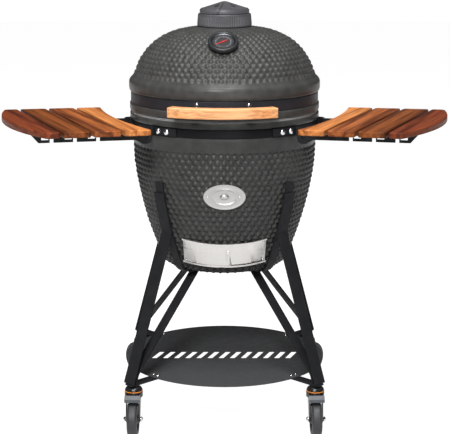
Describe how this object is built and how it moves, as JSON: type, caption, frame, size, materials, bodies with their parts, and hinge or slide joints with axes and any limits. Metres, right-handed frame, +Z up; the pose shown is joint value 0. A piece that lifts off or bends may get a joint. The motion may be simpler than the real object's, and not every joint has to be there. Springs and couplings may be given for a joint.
{
  "type": "kamado grill",
  "caption": "Egg-shaped ceramic charcoal grill with a hinged lid, in a wheeled four-leg stand with a bottom shelf and two fold-down slatted side tables.",
  "frame": {"origin": "on the floor under the egg's vertical axis", "axes": "+X to the right as seen from the front, -Y towards the front, +Z up"},
  "size_m": [1.267, 0.7569, 1.1962],
  "materials": {
    "ceramic": "satin",
    "firebrick": "matte",
    "black_steel": "satin",
    "shelf_steel": "matte",
    "cast_iron": "satin",
    "stainless": "brushed",
    "felt": "matte",
    "light_wood": "satin",
    "acacia": "satin",
    "gauge_black": "gloss",
    "gauge_red": "satin",
    "fork_black": "gloss",
    "tyre": "matte",
    "pedal_grey": "satin"
  },
  "bodies": {
    "stand_and_base": {"base_shell": "ceramic", "base_band": "black_steel", "base_gasket": "felt", "firebox": "firebrick", "fire_ring": "firebrick", "charcoal_grate": "cast_iron", "cooking_grate": "stainless", "draft_track": "stainless", "badge_plate": "stainless", "cradle_ring": "black_steel", "leg_front_left": "black_steel", "leg_front_right": "black_steel", "leg_rear_left": "black_steel", "leg_rear_right": "black_steel", "brace_front_left": "black_steel", "brace_front_right": "black_steel", "brace_rear_left": "black_steel", "brace_rear_right": "black_steel", "bottom_shelf": "shelf_steel", "hinge_lower": "black_steel", "hinge_pin": "stainless", "table_left_bracket_front": "black_steel", "table_left_bracket_rear": "black_steel", "table_right_bracket_front": "black_steel", "table_right_bracket_rear": "black_steel"},
    "lid": {"lid_shell": "ceramic", "lid_band": "black_steel", "lid_gasket": "felt", "lid_handle": "light_wood", "handle_bracket_left": "black_steel", "handle_bracket_right": "black_steel", "thermometer_body": "gauge_black", "vent_base": "cast_iron", "hinge_upper": "black_steel"},
    "needle": {"thermometer_needle": "gauge_red"},
    "vent_cap": {"vent_cap": "cast_iron"},
    "draft_door": {"draft_door": "stainless"},
    "draft_screen": {"draft_screen": "stainless"},
    "table_left": {"table_left_arm_front": "black_steel", "table_left_arm_rear": "black_steel", "table_left_board_1": "acacia", "table_left_board_2": "acacia", "table_left_board_3": "acacia", "table_left_board_4": "acacia"},
    "table_right": {"table_right_arm_front": "black_steel", "table_right_arm_rear": "black_steel", "table_right_board_1": "acacia", "table_right_board_2": "acacia", "table_right_board_3": "acacia", "table_right_board_4": "acacia"},
    "caster_front_left": {"caster_fork_front_left": "fork_black"},
    "wheel_front_left": {"caster_wheel_front_left": "tyre"},
    "pedal_front_left": {"brake_pedal_front_left": "pedal_grey"},
    "caster_front_right": {"caster_fork_front_right": "fork_black"},
    "wheel_front_right": {"caster_wheel_front_right": "tyre"},
    "pedal_front_right": {"brake_pedal_front_right": "pedal_grey"},
    "caster_rear_left": {"caster_fork_rear_left": "fork_black"},
    "wheel_rear_left": {"caster_wheel_rear_left": "tyre"},
    "caster_rear_right": {"caster_fork_rear_right": "fork_black"},
    "wheel_rear_right": {"caster_wheel_rear_right": "tyre"}
  },
  "joints": [
    {"name": "lid_hinge", "type": "hinge", "parent": "stand_and_base", "child": "lid", "pos_m": [0, 0.305, 0.889], "axis": [-1, 0, 0], "range_deg": [0, 75]},
    {"name": "vent_cap_turn", "type": "hinge", "parent": "lid", "child": "vent_cap", "pos_m": [0, 0, 1.1622], "axis": [0, 0, 1], "range_deg": [0, 36]},
    {"name": "needle_turn", "type": "hinge", "parent": "lid", "child": "needle", "pos_m": [-0.00327, -0.18737, 1.092], "axis": [0.0098, 0.5591, -0.829], "range_deg": [0, 200]},
    {"name": "draft_door_slide", "type": "hinge", "parent": "stand_and_base", "child": "draft_door", "pos_m": [0, 0, 0.56229], "axis": [0, -0.2756, 0.9613], "range_deg": [0, 26]},
    {"name": "draft_screen_slide", "type": "hinge", "parent": "stand_and_base", "child": "draft_screen", "pos_m": [0, 0, 0.56229], "axis": [0, -0.2756, 0.9613], "range_deg": [-26, 0]},
    {"name": "table_left_fold", "type": "hinge", "parent": "stand_and_base", "child": "table_left", "pos_m": [-0.25608, -0.10294, 0.842], "axis": [0.373, -0.9278, 0], "range_deg": [0, 85]},
    {"name": "table_right_fold", "type": "hinge", "parent": "stand_and_base", "child": "table_right", "pos_m": [0.25608, -0.10294, 0.842], "axis": [0.373, 0.9278, 0], "range_deg": [0, 85]},
    {"name": "swivel_front_left", "type": "hinge", "parent": "stand_and_base", "child": "caster_front_left", "pos_m": [-0.256, -0.256, 0.1412], "axis": [0, 0, 1], "continuous": true},
    {"name": "roll_front_left", "type": "hinge", "parent": "caster_front_left", "child": "wheel_front_left", "pos_m": [-0.25705, -0.28598, 0.05], "axis": [0.9994, -0.0349, 0], "continuous": true},
    {"name": "pedal_front_left_press", "type": "hinge", "parent": "caster_front_left", "child": "pedal_front_left", "pos_m": [-0.25717, -0.28948, 0.113], "axis": [0.9994, -0.0349, 0], "range_deg": [-12, 12]},
    {"name": "swivel_front_right", "type": "hinge", "parent": "stand_and_base", "child": "caster_front_right", "pos_m": [0.256, -0.256, 0.1412], "axis": [0, 0, 1], "continuous": true},
    {"name": "roll_front_right", "type": "hinge", "parent": "caster_front_right", "child": "wheel_front_right", "pos_m": [0.25705, -0.28598, 0.05], "axis": [0.9994, 0.0349, 0], "continuous": true},
    {"name": "pedal_front_right_press", "type": "hinge", "parent": "caster_front_right", "child": "pedal_front_right", "pos_m": [0.25717, -0.28948, 0.113], "axis": [0.9994, 0.0349, 0], "range_deg": [-12, 12]},
    {"name": "swivel_rear_left", "type": "hinge", "parent": "stand_and_base", "child": "caster_rear_left", "pos_m": [-0.256, 0.256, 0.1412], "axis": [0, 0, 1], "continuous": true},
    {"name": "roll_rear_left", "type": "hinge", "parent": "caster_rear_left", "child": "wheel_rear_left", "pos_m": [-0.27607, 0.27829, 0.05], "axis": [-0.7431, -0.6691, 0], "continuous": true},
    {"name": "swivel_rear_right", "type": "hinge", "parent": "stand_and_base", "child": "caster_rear_right", "pos_m": [0.256, 0.256, 0.1412], "axis": [0, 0, 1], "continuous": true},
    {"name": "roll_rear_right", "type": "hinge", "parent": "caster_rear_right", "child": "wheel_rear_right", "pos_m": [0.27607, 0.27829, 0.05], "axis": [-0.7431, 0.6691, 0], "continuous": true}
  ]
}
